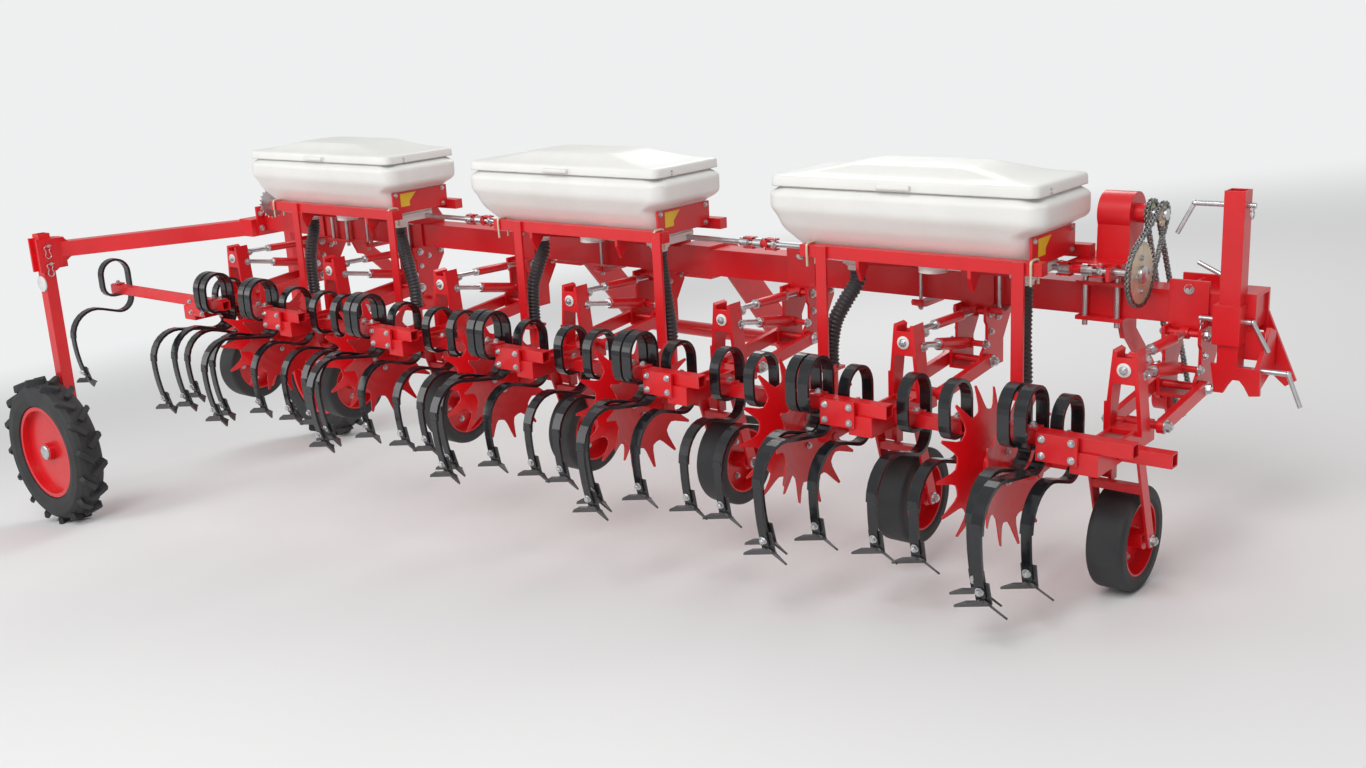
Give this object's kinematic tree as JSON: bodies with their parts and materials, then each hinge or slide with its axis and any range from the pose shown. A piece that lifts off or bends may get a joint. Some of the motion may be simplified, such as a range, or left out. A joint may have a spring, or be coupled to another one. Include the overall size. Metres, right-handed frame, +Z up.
{
  "type": "inter-row cultivator",
  "caption": "Tractor-mounted row-crop cultivator: beam with sprung-tine sections, star discs, gauge wheels, fertiliser hoppers and a lengthwise transport set.",
  "frame": {"origin": "centre of the machine's box on the floor, as parked", "axes": "+X along the beam to the machine's right, in the floor plane; +Y in the working direction; +Z up. Parked, the beam leans right end down about Y."},
  "size_m": [6.3125, 2.0194, 1.6998],
  "materials": {
    "red_paint": "gloss",
    "white_plastic": "satin",
    "spring_steel": "satin",
    "share_steel": "satin",
    "tyre": "matte",
    "hose_plastic": "satin",
    "chain_steel": "satin",
    "zinc_steel": "satin"
  },
  "bodies": {
    "machine": {"main_beam": "red_paint", "headstock": "red_paint", "lower_hitch_bar": "red_paint", "section_brackets": "red_paint", "upper_links": "red_paint", "spring_struts": "red_paint", "lower_links": "red_paint", "section_frames": "red_paint", "gauge_forks": "red_paint", "tool_bars": "red_paint", "rear_tines": "spring_steel", "front_tines": "spring_steel", "rear_shares": "share_steel", "front_shares": "share_steel", "disc_arms": "red_paint", "hopper_rails": "red_paint", "hopper_left": "white_plastic", "hopper_middle": "white_plastic", "hopper_right": "white_plastic", "hoses": "hose_plastic", "hose_uprights": "red_paint", "gearbox": "red_paint", "chain_drive": "chain_steel", "drive_shafts": "zinc_steel", "drive_arms": "red_paint", "transport_arms": "red_paint", "transport_legs": "red_paint", "tow_post": "red_paint", "lock_pins": "zinc_steel"},
    "gauge_wheel_1": {"gauge_tyre_1": "tyre", "gauge_rim_1": "red_paint"},
    "gauge_wheel_2": {"gauge_tyre_2": "tyre", "gauge_rim_2": "red_paint"},
    "gauge_wheel_3": {"gauge_tyre_3": "tyre", "gauge_rim_3": "red_paint"},
    "gauge_wheel_4": {"gauge_tyre_4": "tyre", "gauge_rim_4": "red_paint"},
    "gauge_wheel_5": {"gauge_tyre_5": "tyre", "gauge_rim_5": "red_paint"},
    "gauge_wheel_6": {"gauge_tyre_6": "tyre", "gauge_rim_6": "red_paint"},
    "gauge_wheel_7": {"gauge_tyre_7": "tyre", "gauge_rim_7": "red_paint"},
    "transport_wheel_rear": {"tyre_rear": "tyre", "rim_rear": "red_paint"},
    "transport_wheel_front": {"tyre_front": "tyre", "rim_front": "red_paint"},
    "star_discs_1": {"star_pair_1": "red_paint"},
    "star_discs_2": {"star_pair_2": "red_paint"},
    "star_discs_3": {"star_pair_3": "red_paint"},
    "star_discs_4": {"star_pair_4": "red_paint"},
    "star_discs_5": {"star_pair_5": "red_paint"},
    "star_discs_6": {"star_pair_6": "red_paint"},
    "hopper_lid_left": {"lid_left": "white_plastic"},
    "hopper_lid_middle": {"lid_middle": "white_plastic"},
    "hopper_lid_right": {"lid_right": "white_plastic"}
  },
  "joints": [
    {"name": "gauge_wheel_1_spin", "type": "hinge", "parent": "machine", "child": "gauge_wheel_1", "pos_m": [-1.39535, -0.41225, 0.73196], "axis": [0.9907, 0, -0.1364], "continuous": true},
    {"name": "gauge_wheel_2_spin", "type": "hinge", "parent": "machine", "child": "gauge_wheel_2", "pos_m": [-0.70189, -0.41225, 0.63649], "axis": [0.9907, 0, -0.1364], "continuous": true},
    {"name": "gauge_wheel_3_spin", "type": "hinge", "parent": "machine", "child": "gauge_wheel_3", "pos_m": [-0.00843, -0.41225, 0.54102], "axis": [0.9907, 0, -0.1364], "continuous": true},
    {"name": "gauge_wheel_4_spin", "type": "hinge", "parent": "machine", "child": "gauge_wheel_4", "pos_m": [0.68503, -0.41225, 0.44555], "axis": [0.9907, 0, -0.1364], "continuous": true},
    {"name": "gauge_wheel_5_spin", "type": "hinge", "parent": "machine", "child": "gauge_wheel_5", "pos_m": [1.37849, -0.41225, 0.35008], "axis": [0.9907, 0, -0.1364], "continuous": true},
    {"name": "gauge_wheel_6_spin", "type": "hinge", "parent": "machine", "child": "gauge_wheel_6", "pos_m": [2.07195, -0.41225, 0.25461], "axis": [0.9907, 0, -0.1364], "continuous": true},
    {"name": "gauge_wheel_7_spin", "type": "hinge", "parent": "machine", "child": "gauge_wheel_7", "pos_m": [2.76541, -0.41225, 0.15915], "axis": [0.9907, 0, -0.1364], "continuous": true},
    {"name": "transport_wheel_rear_spin", "type": "hinge", "parent": "machine", "child": "transport_wheel_rear", "pos_m": [-2.77625, -0.76925, 0.38], "axis": [0, 1, 0], "continuous": true},
    {"name": "transport_wheel_front_spin", "type": "hinge", "parent": "machine", "child": "transport_wheel_front", "pos_m": [-2.77625, 0.93475, 0.38], "axis": [0, 1, 0], "continuous": true},
    {"name": "star_discs_1_spin", "type": "hinge", "parent": "machine", "child": "star_discs_1", "pos_m": [-1.02338, -0.51725, 0.86749], "axis": [0.9907, 0, -0.1364], "continuous": true},
    {"name": "star_discs_2_spin", "type": "hinge", "parent": "machine", "child": "star_discs_2", "pos_m": [-0.32993, -0.51725, 0.77203], "axis": [0.9907, 0, -0.1364], "continuous": true},
    {"name": "star_discs_3_spin", "type": "hinge", "parent": "machine", "child": "star_discs_3", "pos_m": [0.36353, -0.51725, 0.67656], "axis": [0.9907, 0, -0.1364], "continuous": true},
    {"name": "star_discs_4_spin", "type": "hinge", "parent": "machine", "child": "star_discs_4", "pos_m": [1.05699, -0.51725, 0.58109], "axis": [0.9907, 0, -0.1364], "continuous": true},
    {"name": "star_discs_5_spin", "type": "hinge", "parent": "machine", "child": "star_discs_5", "pos_m": [1.75045, -0.51725, 0.48562], "axis": [0.9907, 0, -0.1364], "continuous": true},
    {"name": "star_discs_6_spin", "type": "hinge", "parent": "machine", "child": "star_discs_6", "pos_m": [2.44391, -0.51725, 0.39015], "axis": [0.9907, 0, -0.1364], "continuous": true},
    {"name": "hopper_lid_left_hinge", "type": "hinge", "parent": "machine", "child": "hopper_lid_left", "pos_m": [-0.78972, 0.09675, 1.61158], "axis": [-0.9907, 0, 0.1364], "range_deg": [0, 95]},
    {"name": "hopper_lid_middle_hinge", "type": "hinge", "parent": "machine", "child": "hopper_lid_middle", "pos_m": [0.64673, 0.09675, 1.41382], "axis": [-0.9907, 0, 0.1364], "range_deg": [0, 95]},
    {"name": "hopper_lid_right_hinge", "type": "hinge", "parent": "machine", "child": "hopper_lid_right", "pos_m": [2.08318, 0.09675, 1.21607], "axis": [-0.9907, 0, 0.1364], "range_deg": [0, 95]}
  ]
}
